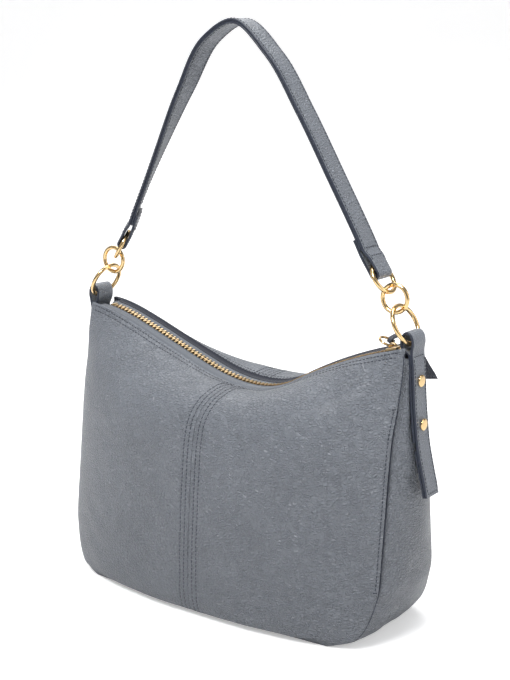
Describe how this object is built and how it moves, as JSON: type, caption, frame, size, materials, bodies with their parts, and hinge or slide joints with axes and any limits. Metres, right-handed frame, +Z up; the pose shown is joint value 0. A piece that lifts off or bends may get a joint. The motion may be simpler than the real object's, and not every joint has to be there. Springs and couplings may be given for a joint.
{
  "type": "hobo bag",
  "caption": "Soft leather hobo bag with bulging sides, a dipped zipped mouth, folded side tabs with linked rings and one arched shoulder strap.",
  "frame": {"origin": "on the floor under the middle of the bag, at the bottom centre of its bounding box", "axes": "+X to the right along the width, the front faces -Y, +Z up to the strap"},
  "size_m": [0.3645, 0.158, 0.4886],
  "materials": {
    "body_leather": "pebbled blue-grey leather, soft satin sheen",
    "pocket_leather": "pebbled blue-grey leather in the pocket mouth",
    "facing_leather": "thin blue-grey leather strip",
    "strap_leather": "pebbled blue-grey leather, dark painted edges",
    "strap_lining_leather": "pebbled blue-grey leather, dark painted edges",
    "pull_leather": "dark leather",
    "lining_fabric": "plain woven cotton",
    "board": "stiff base board",
    "zip_tape": "woven zip tape, matt",
    "zip_metal": "polished pale gold plating",
    "ring_metal": "polished pale gold plating",
    "rivet_metal": "polished pale gold plating"
  },
  "bodies": {
    "bag": {"front_panel_left": "body_leather", "front_panel_right": "body_leather", "back_panel_left": "body_leather", "back_panel_right": "body_leather", "gusset_left": "body_leather", "gusset_right": "body_leather", "base_panel": "body_leather", "side_tab_left": "body_leather", "side_tab_right": "body_leather", "pocket_back": "pocket_leather", "mouth_facing_front": "facing_leather", "mouth_facing_back": "facing_leather", "lining": "lining_fabric", "base_board": "board", "zip_tape_front": "zip_tape", "zip_tape_back": "zip_tape", "zip_teeth_front": "zip_metal", "zip_teeth_back": "zip_metal", "zip_stop_left": "zip_metal", "zip_stop_right": "zip_metal", "rivet_left_upper": "rivet_metal", "rivet_left_lower": "rivet_metal", "rivet_right_upper": "rivet_metal", "rivet_right_lower": "rivet_metal"},
    "slider": {"zip_slider": "zip_metal"},
    "zip_pull_ring": {"pull_ring": "ring_metal"},
    "zip_pull_tag": {"pull_tag": "pull_leather"},
    "tab_ring_left": {"bag_ring_left": "ring_metal"},
    "tab_ring_right": {"bag_ring_right": "ring_metal"},
    "small_link_left": {"link_ring_left": "ring_metal"},
    "small_link_right": {"link_ring_right": "ring_metal"},
    "handle": {"strap_ring_left": "ring_metal", "strap_ring_right": "ring_metal", "strap_outer": "strap_leather", "strap_lining": "strap_lining_leather"}
  },
  "joints": [
    {"name": "slider_travel", "type": "hinge", "parent": "bag", "child": "slider", "pos_m": [0.2514, 0, -0.1514], "axis": [0, 1, 0], "range_deg": [-12, 0], "deforming": ["zip_teeth_front", "zip_teeth_back", "pull_tag"]},
    {"name": "pull_ring_flip", "type": "hinge", "parent": "slider", "child": "zip_pull_ring", "pos_m": [0.14546, 0, 0.23852], "axis": [0, 1, 0], "range_deg": [0, 30]},
    {"name": "pull_tag_swing", "type": "hinge", "parent": "zip_pull_ring", "child": "zip_pull_tag", "pos_m": [0.14002, 0.006, 0.24105], "axis": [0, 1, 0], "range_deg": [-96, 0]},
    {"name": "handle_sway", "type": "hinge", "parent": "bag", "child": "tab_ring_left", "pos_m": [-0.1638, 0, 0.2457], "axis": [0, 1, 0], "range_deg": [-10, 10]},
    {"name": "small_link_left_pivot", "type": "hinge", "parent": "tab_ring_left", "child": "small_link_left", "pos_m": [-0.14887, 0, 0.27378], "axis": [0, 1, 0], "range_deg": [-11.2, 11.2]},
    {"name": "tab_ring_right_sway", "type": "hinge", "parent": "bag", "child": "tab_ring_right", "pos_m": [0.1638, 0, 0.2422], "axis": [0, 1, 0], "range_deg": [-10, 10]},
    {"name": "small_link_right_pivot", "type": "hinge", "parent": "tab_ring_right", "child": "small_link_right", "pos_m": [0.14887, 0, 0.27028], "axis": [0, 1, 0], "range_deg": [-11.2, 11.2]},
    {"name": "handle_fold", "type": "hinge", "parent": "small_link_left", "child": "handle", "pos_m": [-0.1395, 0, 0.2878], "axis": [0.9999, 0, -0.0125], "range_deg": [-40, 37]}
  ],
  "couplings": [
    {"joint": "pull_ring_flip", "follows": "slider_travel", "ratio": -2.5},
    {"joint": "pull_tag_swing", "follows": "slider_travel", "ratio": 8},
    {"joint": "tab_ring_right_sway", "follows": "handle_sway", "ratio": 1},
    {"joint": "small_link_left_pivot", "follows": "handle_sway", "ratio": -1.107},
    {"joint": "small_link_right_pivot", "follows": "handle_sway", "ratio": -1.107}
  ]
}
